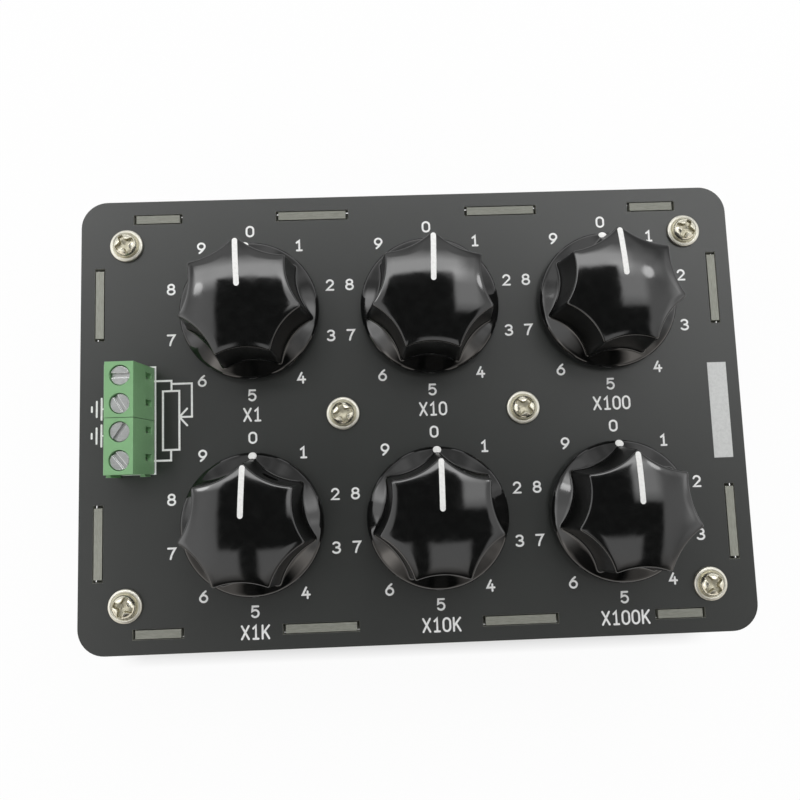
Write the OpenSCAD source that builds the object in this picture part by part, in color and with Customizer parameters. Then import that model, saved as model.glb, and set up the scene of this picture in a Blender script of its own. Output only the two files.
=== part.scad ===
// Decade resistance box: six rotary decade switches under a circuit-board panel, with screw terminals.
// Lengths are millimetres. +X is the long side, +Y the rear edge, +Z up.
// The origin is under the middle of the panels, where the lower screw heads rest.

/* [Panels and walls] */
// Panel length along X
panel_w = 125; // [122:1:140]
// Panel depth along Y
panel_d = 85; // [84:1:100]
// Panel thickness
panel_t = 1.6; // [1.2:0.1:2.4]
// Radius of the panel corners
panel_corner_r = 5; // [2:0.5:7]
// Wall thickness
wall_t = 1.6; // [1.2:0.1:2]
// Clear height between the two panels
wall_h = 25; // [22:1:40]
// Panel edge to the middle plane of a wall
wall_inset = 3.6; // [3:0.1:4]

/* [Tabs and slots] */
// Length of a long tab
long_tab_l = 13; // [8:0.5:14]
// Length of a short tab
short_tab_l = 8.3; // [5:0.1:9]
// Long tab of the front and rear walls: distance from the middle
long_tab_x = 18.3; // [14:0.1:24]
// Short tab of the front and rear walls: distance from the panel's end
short_tab_inset = 14.6; // [13:0.1:18]
// Tab of the side walls: distance from the middle
side_tab_y = 22.4; // [16:0.1:24]
// Slot end to tab end
tab_end_gap = 0.5; // [0.2:0.1:0.8]
// Slot side to tab side
tab_side_gap = 0.12; // [0.05:0.01:0.25]

/* [Screws and spacers] */
// Corner screw to the panel's end
screw_inset_x = 8.7; // [8.2:0.1:10]
// Corner screw to the panel's front or rear edge
screw_inset_y = 8.8; // [8.2:0.1:10]
// Screw thread radius
screw_r = 1.5; // [1.2:0.1:1.6]
// Screw length under the head
screw_l = 8; // [5:0.5:10]
// Radius of the flange under the head
screw_flange_r = 3.1; // [2.8:0.1:3.4]
// Thickness of the flange
screw_flange_h = 0.7; // [0.4:0.1:1]
// Radius of the head
screw_head_r = 2.3; // [2:0.1:2.6]
// Height of the head with its flange
screw_head_h = 2; // [1.8:0.1:2.6]
// Rounding of the head's shoulder
screw_shoulder_r = 0.7; // [0.3:0.1:0.7]
// Width of the cross recess
recess_w = 0.7; // [0.5:0.1:0.9]
// Length of the cross recess
recess_l = 2.8; // [2:0.1:3]
// Depth of the cross recess
recess_h = 1.1; // [0.6:0.1:1.4]
// Spacer size across flats
spacer_af = 5.5; // [5:0.1:6]
// Radial room round a screw in a panel hole
hole_gap = 0.1; // [0.05:0.05:0.3]
// Radial room between engaged threads
thread_gap = 0.05; // [0.02:0.01:0.1]

/* [Dial field] */
// Distance between dial columns
dial_pitch_x = 34; // [33:0.1:36]
// Distance between dial rows
dial_pitch_y = 39.8; // [38:0.1:41]
// Middle of the dial field, right of the panel's middle
dial_field_x = 3.7; // [2:0.1:5]
// Middle of the dial field, behind the panel's middle
dial_field_y = 0.2; // [-0.5:0.1:1]

/* [Knob] */
// Number of grip lobes
lobes = 7; // [5:1:9]
// Radius of the skirt
skirt_r = 13.1; // [12.8:0.1:14]
// Height of the skirt's upright rim
skirt_rim_h = 1.7; // [1:0.1:2.2]
// Height of the skirt where it meets the flutes
skirt_top_h = 4; // [3.2:0.1:4.2]
// Height of the knob at the middle of its crown
knob_h = 12.9; // [12.5:0.1:16]
// Radius of the lobe tips at the skirt
tip_base_r = 11.6; // [11.3:0.1:12]
// Radius of the lobe tips at the crown
tip_crown_r = 11; // [10.8:0.1:11.3]
// Radius of the grip at the bottom of a flute, at the crown
flute_bottom_r = 9.05; // [8.9:0.05:9.4]
// Radius of the round that hollows a flute
flute_cut_r = 12.5; // [10:0.5:16]
// Drop of the crown from its middle to a lobe tip
crown_drop = 1.5; // [1:0.1:2]
// Width of the pointer groove
pointer_w = 0.95; // [0.8:0.05:1.5]
// Depth of the pointer groove
pointer_h = 0.35; // [0.2:0.05:0.6]
// Pointer groove: inner end, from the axis
pointer_in_r = 2.1; // [1:0.1:4]
// Pointer groove: outer end, from the axis
pointer_out_r = 10.1; // [8:0.1:10.4]
// Dot on the skirt: width
pointer_dot_w = 1.15; // [0.9:0.05:1.2]
// Dot on the skirt: distance from the axis
pointer_dot_r = 12.35; // [12.3:0.01:12.4]
// Panel to the underside of the knob
knob_gap = 0.6; // [0.4:0.1:1]
// Radius of the hollow under the knob
hollow_r = 8.2; // [7.6:0.1:8.4]
// Height of the hollow under the knob
hollow_h = 4.6; // [4.3:0.1:5]
// Set screw radius
set_screw_r = 1.5; // [1:0.1:1.7]
// Set screw height above the underside of the knob
set_screw_z = 7; // [6.4:0.1:8]

/* [Rotary switch] */
// Shaft radius
shaft_r = 3; // [2.5:0.1:3.2]
// Shaft length above the panel
shaft_top = 11; // [10:0.1:11.5]
// Depth of the flat on the shaft
shaft_flat = 0.6; // [0.3:0.1:0.9]
// Radial room of the shaft in its bush
shaft_gap = 0.05; // [0.02:0.01:0.1]
// Outer radius of the threaded bush
bush_r = 4.5; // [4.3:0.1:4.8]
// Bush height above the panel
bush_top = 4.6; // [4:0.1:4.8]
// Radius of the switch body
switch_r = 13; // [12.8:0.1:14]
// Thickness of the front plate
front_plate_t = 1.5; // [1:0.1:2]
// Length of the switch cup
cup_h = 12; // [11.6:0.1:13]
// Wall of the switch cup
cup_wall = 1.2; // [0.8:0.1:1.4]
// Thickness of the contact wafer
wafer_t = 2; // [1.6:0.1:2.5]
// Size of the fixing nut across flats
nut_af = 12; // [11:0.5:13]
// Height of the fixing nut
nut_h = 2; // [1.5:0.1:2.4]
// Outer radius of the lock washer
washer_r = 6.5; // [6:0.1:7]
// Thickness of the lock washer
washer_t = 0.5; // [0.3:0.1:0.8]
// Radius of the locating pin
locator_r = 1.2; // [0.8:0.1:1.4]
// Locating pin: distance from the axis
locator_x = 10; // [9:0.1:11]
// Number of switch positions
positions = 10; // [10:1:10]
// Radius of the contact circle
contact_circle_r = 9; // [8.4:0.1:9.4]
// Radius of a contact head
contact_head_r = 1.1; // [0.8:0.1:1.3]
// Thickness of a contact head
contact_head_h = 0.5; // [0.3:0.1:0.8]
// Radius of a contact pin
contact_pin_r = 0.5; // [0.4:0.05:0.6]
// Middle radius of the common contact ring
common_r = 4.6; // [4.4:0.1:5]
// Width of the common contact ring
common_w = 1.5; // [1:0.1:1.8]
// Radius of the rotor's notched rim
notch_rim_r = 9.6; // [9.2:0.1:9.8]
// Radius of a detent notch
notch_r = 1.5; // [1.2:0.1:1.8]
// Depth of a detent notch
notch_h = 0.5; // [0.3:0.1:0.7]
// Radius of the rotor's lower disc
rotor_r = 10.2; // [9.8:0.1:10.4]
// Thickness of each rotor disc
rotor_disc_h = 3; // [2.5:0.1:3.2]
// Radius of the rotor's hub
rotor_hub_r = 5; // [4.5:0.1:5.5]
// Angle of the stop lug, and of the stop rib that it meets
stop_angle = 16; // [10:1:17]
// Thickness of the spring strips and the wiper
spring_t = 0.4; // [0.3:0.05:0.5]
// Width of the wiper
wiper_w = 2.4; // [1.6:0.1:3]

/* [Resistor board] */
// Board edge to the inner wall face
board_gap = 1; // [0.4:0.1:2]
// Board thickness
board_t = 1.6; // [1:0.1:2]
// Pin length under the board
pin_tail = 1.2; // [0.6:0.1:2]
// Length of a chip resistor
chip_l = 3.2; // [2:0.1:4]
// Width of a chip resistor
chip_w = 1.6; // [1.2:0.1:2]
// Thickness of a chip resistor
chip_h = 0.6; // [0.4:0.05:0.9]
// Chip circle radius round each switch
chip_circle_r = 12.3; // [11:0.1:13]

/* [Screw terminals] */
// Distance between terminals
way_pitch = 5; // [5:0.02:5.1]
// Terminal screws to the panel's left end
terminal_inset = 10.55; // [10.4:0.05:12]
// Height of the terminal block
terminal_h = 9; // [9:0.1:10]
// Screw axis to the foot of the wire side
terminal_front_d = 4; // [3.8:0.1:4.4]
// Screw axis to the top edge of the wire side
terminal_front_top = 2.6; // [2.5:0.1:3]
// Height of the upright lower part of the wire side
terminal_front_h = 5.5; // [4.5:0.1:6]
// Screw axis to the top edge of the rear side
terminal_rear_top = 2.45; // [2.3:0.05:2.6]
// Screw axis to the foot of the rear side
terminal_rear_d = 3.3; // [3.2:0.1:4]
// Seam between the two blocks
block_gap = 0.1; // [0.02:0.02:0.2]
// Wire entry radius
entry_r = 1.2; // [0.8:0.05:1.2]
// Wire entry funnel radius
funnel_r = 1.75; // [1.4:0.05:1.8]
// Wire entry funnel depth
funnel_l = 1; // [0.5:0.1:1.2]
// Height of the wire entry above the panel
entry_z = 2.25; // [2.2:0.05:2.3]
// Terminal screw head radius
clamp_head_r = 1.7; // [1.5:0.05:1.75]
// Terminal screw head height
clamp_head_h = 1.6; // [1.2:0.1:1.7]
// Terminal screw thread radius
clamp_thread_r = 1.25; // [1:0.05:1.3]
// Terminal screw slot width
clamp_slot_w = 0.8; // [0.5:0.05:1]
// Terminal screw slot depth
clamp_slot_h = 0.5; // [0.4:0.05:0.9]
// Top of the block to the top of a screw
clamp_recess = 0.4; // [0.2:0.05:0.6]
// Clamp cage width
cage_w = 3.7; // [3.6:0.05:3.8]
// Clamp cage length
cage_l = 3.2; // [2.6:0.1:3.3]
// Clamp cage side wall
cage_wall = 0.6; // [0.4:0.05:0.65]
// Clamp cage floor
cage_floor = 0.6; // [0.4:0.05:0.7]
// Clamp cage threaded top
cage_top = 0.8; // [0.6:0.05:0.9]
// Cage floor above the panel, with the clamp open
cage_rest_z = 0.4; // [0.3:0.05:0.5]
// Room for a wire in the open clamp
cage_open_h = 2.5; // [2.4:0.05:2.6]
// Room between a cage and its cell
cell_gap = 0.1; // [0.05:0.01:0.15]
// Contact bar and pin thickness
bar_t = 0.6; // [0.4:0.05:0.7]
// Contact bar and pin width
bar_w = 1; // [0.6:0.05:1.1]
// Pin length under the panel
bar_tail = 3.4; // [2:0.1:5]

/* [Hidden] */
$fn = 64;
skin = 0.05;
over = 1;
dials = ["x1", "x10", "x100", "x1k", "x10k", "x100k"];
// Turn of each knob on its rotor, as set at assembly
knob_turn = [3, -2.3, 2.2, -1.6, -1, -0.5];
columns = 3;
ways = [0, 1, 2, 3];
ways_per_block = 2;
clamp_slot_turn = [0, -59, 57, -51];

// Levels above the ground
lower_panel_z = screw_head_h;
wall_z = lower_panel_z + panel_t;
upper_panel_z = wall_z + wall_h;
panel_top = upper_panel_z + panel_t;

// Middle planes of the walls
wall_x = panel_w / 2 - wall_inset;
wall_y = panel_d / 2 - wall_inset;

// Fixing points: the four corners, then one between each pair of dial columns
corner_x = panel_w / 2 - screw_inset_x;
corner_y = panel_d / 2 - screw_inset_y;
corners = [for (sx = [-1, 1], sy = [-1, 1]) [sx * corner_x, sy * corner_y]];
between = [for (s = [-1, 1]) [dial_field_x + s * dial_pitch_x / 2, dial_field_y]];
fixings = concat(corners, between);

// Tab middles along a wall
short_tab_x = panel_w / 2 - short_tab_inset;
long_wall_tabs = [[-short_tab_x, short_tab_l], [-long_tab_x, long_tab_l],
                  [long_tab_x, long_tab_l], [short_tab_x, short_tab_l]];
side_wall_tabs = [[-side_tab_y, long_tab_l], [side_tab_y, long_tab_l]];

// Levels of a switch, measured from the panel's top
plate_z = -panel_t - front_plate_t;
wafer_top = plate_z - cup_h;
wafer_z = wafer_top - wafer_t;
board_z = wafer_z - board_t;
contact_z = wafer_top + contact_head_h;
cup_r = switch_r - cup_wall;
rotor_top = plate_z - 0.3;
rotor_collar_h = 1.6;
notch_disc_z = rotor_top - rotor_collar_h - rotor_disc_h;
rotor_disc_z = notch_disc_z - rotor_disc_h;
step = 360 / positions;
spigot_r = shaft_r / 2;
spigot_gap = 0.1;
stop_half = stop_angle / 2;
stop_lug_r = cup_r - 0.4;
stop_rib_r = rotor_r + 0.4;
nose_r = (cup_r - spring_t / 2 - notch_rim_r) / 2;

// Knob draft and crown
grip_h = knob_h - crown_drop - skirt_top_h;
draft = atan((tip_base_r - tip_crown_r) / grip_h);
tip_root_r = tip_base_r + skirt_top_h * tan(draft);
tip_over_r = tip_crown_r - crown_drop * tan(draft);
crown_r = (pow(tip_crown_r, 2) + pow(crown_drop, 2)) / (2 * crown_drop);
flute_turn = 180 / lobes;
tip_angle = 90;
set_screw_turn = tip_angle - flute_turn;
skirt_in_r = flute_bottom_r - 0.5;
skirt_slope = atan((skirt_top_h - skirt_rim_h) / (skirt_r - skirt_in_r));

// Screw terminals, measured from the panel's top
terminal_x = -panel_w / 2 + terminal_inset;
bar_z = cage_rest_z + cage_floor + cage_open_h;
tip_z = bar_z + bar_t + skin;
clamp_top = terminal_h - clamp_recess;
head_z = clamp_top - clamp_head_h;
cell_w = cage_w + 2 * cell_gap;
cell_l = cage_l + 3 * cell_gap;
pin_x = cell_l / 2 + bar_t / 2;
rib_l = 0.45;
rib_w = 0.7;
rib_flare = 0.15;
// Ribs that lock the blocks side by side: place and height
ribs = [[-terminal_front_d + 0.75, 5], [terminal_rear_d - 1.1, 3]];

// Places
function dial_x(i) = dial_field_x + (i % columns - 1) * dial_pitch_x;
function dial_y(i) = dial_field_y + (0.5 - floor(i / columns)) * dial_pitch_y;
function way_y(w) = (1.5 - w) * way_pitch;
function block_y(b) = (0.5 - b) * ways_per_block * way_pitch;

module at_dial(i) {
    translate([dial_x(i), dial_y(i), panel_top]) children();
}

module at_each_dial() {
    for (i = [0 : len(dials) - 1])
        at_dial(i) children();
}

module at_way(w) {
    translate([terminal_x, way_y(w), panel_top]) children();
}

// Position k of a switch, counted clockwise from the rear
module at_position(k, r) {
    rotate(tip_angle - k * step) translate([r, 0, 0]) children();
}

// Shared shapes
module rounded_plate(w, d, r) {
    square([w - 2 * r, d], center = true);
    square([w, d - 2 * r], center = true);
    for (sx = [-1, 1], sy = [-1, 1])
        translate([sx * (w / 2 - r), sy * (d / 2 - r)]) circle(r);
}

module ring(h, outer, inner) {
    difference() {
        cylinder(h = h, r = outer);
        translate([0, 0, -over]) cylinder(h = h + 2 * over, r = inner);
    }
}

module sector(r, angle) {
    reach = 2 * r;
    half = reach * tan(angle / 2);
    polygon([[0, 0], [reach, -half], [reach, half]]);
}

// Panels
module slot(tab_l) {
    square([tab_l + 2 * tab_end_gap, wall_t + 2 * tab_side_gap], center = true);
}

module panel_outline() {
    difference() {
        rounded_plate(panel_w, panel_d, panel_corner_r);
        for (t = long_wall_tabs, s = [-1, 1])
            translate([t[0], s * wall_y]) slot(t[1]);
        for (t = side_wall_tabs, s = [-1, 1])
            translate([s * wall_x, t[0]]) rotate(90) slot(t[1]);
        for (p = fixings)
            translate(p) circle(screw_r + hole_gap);
    }
}

module top_panel() {
    color([0.13, 0.13, 0.13])
        translate([0, 0, upper_panel_z]) linear_extrude(panel_t) difference() {
            panel_outline();
            for (i = [0 : len(dials) - 1]) translate([dial_x(i), dial_y(i)]) {
                circle(bush_r + hole_gap);
                translate([0, -locator_x]) circle(locator_r + hole_gap);
            }
            for (w = ways)
                translate([terminal_x + pin_x, way_y(w)])
                    square([bar_t + 2 * hole_gap, bar_w + 2 * hole_gap], center = true);
        }
}

module bottom_panel() {
    color([0.13, 0.13, 0.13])
        translate([0, 0, lower_panel_z]) linear_extrude(panel_t) panel_outline();
}

// A wall stands on its lower panel, with tabs through both panels
module wall_outline(l, tabs) {
    translate([-l / 2, 0]) square([l, wall_h]);
    for (t = tabs)
        translate([t[0] - t[1] / 2, -panel_t]) square([t[1], wall_h + 2 * panel_t]);
}

module wall(l, tabs) {
    color([0.13, 0.13, 0.13])
        rotate([90, 0, 0]) translate([0, 0, -wall_t / 2]) linear_extrude(wall_t) wall_outline(l, tabs);
}

module long_wall(side) {
    translate([0, side * wall_y, wall_z]) wall(2 * wall_x + wall_t, long_wall_tabs);
}

module side_wall(side) {
    translate([side * wall_x, 0, wall_z]) rotate(90)
        wall(2 * wall_y - wall_t - 2 * tab_side_gap, side_wall_tabs);
}

// Spacers and screws
module spacers() {
    color("goldenrod") for (p = fixings)
        translate([p[0], p[1], wall_z]) difference() {
            cylinder(h = wall_h, d = spacer_af / cos(30), $fn = 6);
            translate([0, 0, -over]) cylinder(h = wall_h + 2 * over, r = screw_r + thread_gap);
        }
}

// Head outline, from the axis out
module screw_head_outline() {
    flat_r = screw_head_r - screw_shoulder_r;
    square([screw_flange_r, screw_flange_h]);
    square([screw_head_r, screw_head_h - screw_shoulder_r]);
    square([flat_r, screw_head_h]);
    translate([flat_r, screw_head_h - screw_shoulder_r]) intersection() {
        circle(screw_shoulder_r);
        square(screw_shoulder_r);
    }
}

// A flanged cross-recess screw, with the seat of its head at z = 0
module screw() {
    difference() {
        rotate_extrude() screw_head_outline();
        for (turn = [0, 90])
            translate([0, 0, screw_head_h - recess_h]) rotate(turn)
                translate([-recess_l / 2, -recess_w / 2, 0]) cube([recess_l, recess_w, recess_h + over]);
    }
    translate([0, 0, -screw_l]) cylinder(h = screw_l, r = screw_r);
}

module top_screws() {
    color("silver") for (p = fixings)
        translate([p[0], p[1], panel_top]) rotate(45) screw();
}

module bottom_screws() {
    color("silver") for (p = fixings)
        translate([p[0], p[1], lower_panel_z]) mirror([0, 0, 1]) rotate(45) screw();
}

// Knob: pointer towards +Y, underside at z = 0
module flute_cutters() {
    mid_z = skirt_top_h + grip_h / 2;
    mid_r = flute_bottom_r + grip_h / 2 * tan(draft) + flute_cut_r;
    for (k = [0 : lobes - 1])
        rotate(tip_angle + flute_turn + k * 360 / lobes)
            translate([mid_r, 0, mid_z]) rotate([0, -draft, 0])
                cylinder(h = 4 * knob_h, r = flute_cut_r, center = true);
}

module grip() {
    intersection() {
        difference() {
            cylinder(h = knob_h, r1 = tip_root_r, r2 = tip_over_r);
            flute_cutters();
        }
        translate([0, 0, knob_h - crown_r]) rotate([90, 0, 0]) sphere(crown_r, $fn = 128);
    }
}

// An upright rim, then a slope up into the grip
module skirt() {
    rotate_extrude()
        polygon([[0, 0], [skirt_r, 0], [skirt_r, skirt_rim_h], [skirt_in_r, skirt_top_h], [0, skirt_top_h]]);
}

// The crown's height at a distance from the axis
function crown_z(r) = knob_h - crown_r + sqrt(pow(crown_r, 2) - pow(r, 2));

module pointer_groove() {
    in_z = crown_z(pointer_in_r);
    out_z = crown_z(pointer_out_r);
    tilt = atan((in_z - out_z) / (pointer_out_r - pointer_in_r));
    length = (pointer_out_r - pointer_in_r) / cos(tilt);
    translate([0, pointer_in_r, in_z - pointer_h]) rotate([-tilt, 0, 0]) linear_extrude(2 * pointer_h + over) {
        translate([-pointer_w / 2, 0]) square([pointer_w, length]);
        circle(pointer_w / 2);
        translate([0, length]) circle(pointer_w / 2);
    }
}

module pointer_dot() {
    dot_z = skirt_rim_h + (skirt_r - pointer_dot_r) * tan(skirt_slope);
    translate([0, pointer_dot_r, dot_z]) rotate([-skirt_slope, 0, 0])
        translate([0, 0, -pointer_h]) cylinder(h = pointer_h + over, r = pointer_dot_w / 2);
}

module set_screw_place() {
    translate([0, 0, set_screw_z]) rotate(set_screw_turn) rotate([0, 90, 0]) children();
}

module knob() {
    bore_top = shaft_top - knob_gap + skin;
    color([0.03, 0.03, 0.03]) translate([0, 0, knob_gap]) difference() {
        union() {
            grip();
            skirt();
        }
        pointer_groove();
        pointer_dot();
        translate([0, 0, -over]) cylinder(h = hollow_h + over, r = hollow_r);
        cylinder(h = bore_top, r = shaft_r + skin);
        set_screw_place() cylinder(h = skirt_r, r = set_screw_r + thread_gap);
    }
}

module set_screw() {
    length = flute_bottom_r - shaft_r + shaft_flat - 0.6;
    key_r = set_screw_r / 2;
    key_h = 1.2;
    color("dimgray") translate([0, 0, knob_gap]) set_screw_place()
        translate([0, 0, shaft_r - shaft_flat]) difference() {
            cylinder(h = length, r = set_screw_r);
            translate([0, 0, length - key_h]) cylinder(h = key_h + over, r = key_r, $fn = 6);
        }
}

// Rotary switch, from the panel's top down
module shaft() {
    flat_z = knob_gap + set_screw_z - 2 * set_screw_r;
    color("lightgray") difference() {
        union() {
            translate([0, 0, rotor_disc_z]) cylinder(h = shaft_top - rotor_disc_z, r = shaft_r);
            translate([0, 0, wafer_z]) cylinder(h = rotor_disc_z - wafer_z, r = spigot_r);
        }
        rotate(set_screw_turn) translate([shaft_r - shaft_flat, -shaft_r, flat_z])
            cube([2 * shaft_r, 2 * shaft_r, shaft_top]);
    }
}

module bush() {
    difference() {
        union() {
            translate([0, 0, plate_z]) cylinder(h = front_plate_t, r = switch_r);
            translate([0, 0, plate_z]) cylinder(h = bush_top - plate_z, r = bush_r);
            translate([0, -locator_x, plate_z]) cylinder(h = front_plate_t + panel_t, r = locator_r);
        }
        translate([0, 0, plate_z - over]) cylinder(h = bush_top - plate_z + 2 * over, r = shaft_r + shaft_gap);
    }
}

module switch_bushes() {
    color("silver") at_each_dial() bush();
}

module lock_washer() {
    teeth = 8;
    gap_w = bush_r / 4;
    difference() {
        ring(washer_t, washer_r, bush_r + thread_gap);
        for (k = [0 : teeth - 1])
            rotate(k * 360 / teeth) translate([bush_r, 0, washer_t / 2])
                cube([(washer_r - bush_r), gap_w, 2 * washer_t], center = true);
    }
}

module lock_washers() {
    color("silver") at_each_dial() lock_washer();
}

module switch_nuts() {
    color("silver") at_each_dial() translate([0, 0, washer_t]) difference() {
        cylinder(h = nut_h, d = nut_af / cos(30), $fn = 6);
        translate([0, 0, -over]) cylinder(h = nut_h + 2 * over, r = bush_r + thread_gap);
    }
}

// The stop rib stands half a step before the first position
module switch_cup() {
    translate([0, 0, wafer_top]) ring(cup_h, switch_r, cup_r);
    translate([0, 0, wafer_top]) rotate(tip_angle + step / 2) linear_extrude(wafer_cover())
        intersection() {
            sector(switch_r, stop_angle);
            difference() {
                circle(cup_r + cup_wall / 2);
                circle(stop_rib_r);
            }
        }
}

// The stop rib's height reaches the top of the rotor's lower disc
function wafer_cover() = notch_disc_z - wafer_top;

module switch_cups() {
    color("saddlebrown") at_each_dial() switch_cup();
}

// Detent spring: a strip along the cup with a round nose in one notch
module detent_spring() {
    strip_angle = 60;
    inset = 0.3;
    translate([0, 0, notch_disc_z + inset]) linear_extrude(rotor_disc_h - 2 * inset) rotate(-tip_angle) {
        intersection() {
            sector(switch_r, strip_angle);
            difference() {
                circle(cup_r - skin);
                circle(cup_r - skin - spring_t);
            }
        }
        translate([notch_rim_r + skin + nose_r, 0]) circle(nose_r);
    }
}

module detent_springs() {
    color("silver") at_each_dial() detent_spring();
}

module rotor() {
    color("ivory") difference() {
        union() {
            translate([0, 0, rotor_disc_z]) cylinder(h = rotor_top - rotor_disc_z, r = rotor_hub_r);
            translate([0, 0, notch_disc_z]) linear_extrude(rotor_disc_h) difference() {
                circle(notch_rim_r);
                for (k = [0 : positions - 1])
                    rotate(tip_angle - k * step) translate([notch_rim_r - notch_h + notch_r, 0]) circle(notch_r);
            }
            translate([0, 0, rotor_disc_z]) linear_extrude(rotor_disc_h) {
                circle(rotor_r);
                rotate(tip_angle) intersection() {
                    sector(switch_r, stop_angle);
                    circle(stop_lug_r);
                }
            }
        }
        translate([0, 0, rotor_disc_z - over])
            cylinder(h = rotor_top - rotor_disc_z + 2 * over, r = shaft_r + skin);
    }
}

// Wiper: a strip under the rotor with one foot on the ring and one on a contact
module wiper() {
    low = contact_z + skin;
    high = rotor_disc_z;
    inner = common_r - common_w / 2;
    outer = contact_circle_r + contact_head_r / 2;
    color("darkorange") rotate(tip_angle) rotate([90, 0, 0]) translate([0, 0, -wiper_w / 2])
        linear_extrude(wiper_w) {
            translate([inner, high - spring_t]) square([outer - inner, spring_t]);
            translate([inner, low]) square([spring_t, high - low]);
            translate([outer - spring_t, low]) square([spring_t, high - low]);
            translate([inner, low]) square([common_w, spring_t]);
            translate([outer - common_w, low]) square([common_w, spring_t]);
        }
}

module contact_wafers() {
    color("tan") at_each_dial() translate([0, 0, wafer_z]) difference() {
        cylinder(h = wafer_t, r = switch_r);
        translate([0, 0, -over]) {
            cylinder(h = wafer_t + 2 * over, r = spigot_r + spigot_gap);
            for (k = [0 : positions - 1])
                at_position(k, contact_circle_r) cylinder(h = wafer_t + 2 * over, r = contact_pin_r + skin);
            at_position(positions / 2, common_r) cylinder(h = wafer_t + 2 * over, r = contact_pin_r + skin);
        }
    }
}

module contact_pin() {
    tail_z = board_z - pin_tail;
    translate([0, 0, tail_z]) cylinder(h = wafer_top - tail_z, r = contact_pin_r);
}

module fixed_contacts() {
    color("silver") at_each_dial() {
        for (k = [0 : positions - 1])
            at_position(k, contact_circle_r) {
                contact_pin();
                translate([0, 0, wafer_top]) cylinder(h = contact_head_h, r = contact_head_r);
            }
        at_position(positions / 2, common_r) contact_pin();
        translate([0, 0, wafer_top]) ring(contact_head_h, common_r + common_w / 2, common_r - common_w / 2);
    }
}

// Resistor board: the switch pins carry it, and the spacers pass through it
module resistor_board() {
    board_w = 2 * wall_x - wall_t - 2 * board_gap;
    board_d = 2 * wall_y - wall_t - 2 * board_gap;
    spacer_hole_r = spacer_af / cos(30) / 2 + hole_gap;
    color("darkgreen") translate([0, 0, panel_top + board_z]) linear_extrude(board_t) difference() {
        square([board_w, board_d], center = true);
        for (p = fixings)
            translate(p) circle(spacer_hole_r);
        for (i = [0 : len(dials) - 1]) translate([dial_x(i), dial_y(i)]) {
            for (k = [0 : positions - 1])
                at_position(k, contact_circle_r) circle(contact_pin_r + skin);
            at_position(positions / 2, common_r) circle(contact_pin_r + skin);
        }
        for (w = ways)
            translate([terminal_x + pin_x, way_y(w)]) circle(bar_w / 2 + skin);
    }
}

module resistors() {
    color([0.2, 0.2, 0.2]) at_each_dial()
        for (k = [0 : positions - 2])
            at_position(k + 0.5, chip_circle_r)
                translate([-chip_w / 2, -chip_l / 2, board_z - chip_h]) cube([chip_w, chip_l, chip_h]);
}

module link_wires() {
    top_z = -panel_t - bar_tail;
    low_z = board_z - pin_tail;
    color("silver") for (w = ways)
        at_way(w) translate([pin_x, 0, low_z]) cylinder(h = top_z - low_z, r = bar_w / 2);
}

// Screw terminals: wires enter from the left
module block_outline() {
    polygon([[-terminal_front_d, 0], [terminal_rear_d, 0], [terminal_rear_top, terminal_h],
             [-terminal_front_top, terminal_h], [-terminal_front_d, terminal_front_h]]);
}

module rib(h, grow) {
    base = rib_w / 2 + grow;
    linear_extrude(h + grow)
        polygon([[-base, skin], [base, skin], [base + rib_flare, -rib_l - grow], [-base - rib_flare, -rib_l - grow]]);
}

// One terminal's hollow: cell for the cage, well for the screw head, slot for the pin, wire entry
module way_hollow() {
    well_r = clamp_head_r + 0.15;
    rear_window = [1.2, 1.2, 2.6];
    rear_window_z = 1.2;
    rear_face_x = terminal_rear_d - (terminal_rear_d - terminal_rear_top) * (rear_window_z / terminal_h);
    translate([-cell_l / 2, -cell_w / 2, -over]) cube([cell_l, cell_w, head_z + over]);
    translate([0, 0, head_z - skin]) cylinder(h = terminal_h, r = well_r);
    translate([0, -bar_w / 2 - hole_gap, -over])
        cube([pin_x + bar_t / 2 + hole_gap, bar_w + 2 * hole_gap, bar_z + bar_t + over + hole_gap]);
    translate([-terminal_front_d - over, 0, entry_z]) rotate([0, 90, 0]) cylinder(h = terminal_front_d, r = entry_r);
    translate([-terminal_front_d, 0, entry_z]) rotate([0, 90, 0]) cylinder(h = funnel_l, r1 = funnel_r, r2 = entry_r);
    translate([rear_face_x - 0.8 * rear_window[0], 0, rear_window_z]) cube(rear_window);
}

module terminal_block(b) {
    length = ways_per_block * way_pitch - block_gap;
    color([0.25, 0.5, 0.25]) translate([terminal_x, block_y(b), panel_top]) {
        difference() {
            translate([0, length / 2, 0]) rotate([90, 0, 0]) linear_extrude(length) block_outline();
            for (s = [-0.5, 0.5])
                translate([0, s * way_pitch, 0]) way_hollow();
            for (r = ribs)
                translate([r[0], length / 2, -over]) rib(2 * r[1], skin);
        }
        for (r = ribs)
            translate([r[0], -length / 2, 0]) rib(r[1], 0);
    }
}

module terminal_pins() {
    low_z = -panel_t - bar_tail;
    color("silver") for (w = ways)
        at_way(w) {
            translate([pin_x - bar_t / 2, -bar_w / 2, low_z]) cube([bar_t, bar_w, bar_z + bar_t - low_z]);
            translate([-cage_l / 2, -bar_w / 2, bar_z]) cube([pin_x + cage_l / 2, bar_w, bar_t]);
        }
}

module terminal_screw(w) {
    color("lightsteelblue") difference() {
        union() {
            translate([0, 0, tip_z]) cylinder(h = head_z - tip_z, r = clamp_thread_r);
            translate([0, 0, head_z]) cylinder(h = clamp_head_h, r = clamp_head_r);
        }
        translate([0, 0, clamp_top - clamp_slot_h]) rotate(clamp_slot_turn[w])
            translate([-clamp_head_r - over, -clamp_slot_w / 2, 0])
                cube([2 * (clamp_head_r + over), clamp_slot_w, clamp_slot_h + over]);
    }
}

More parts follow.
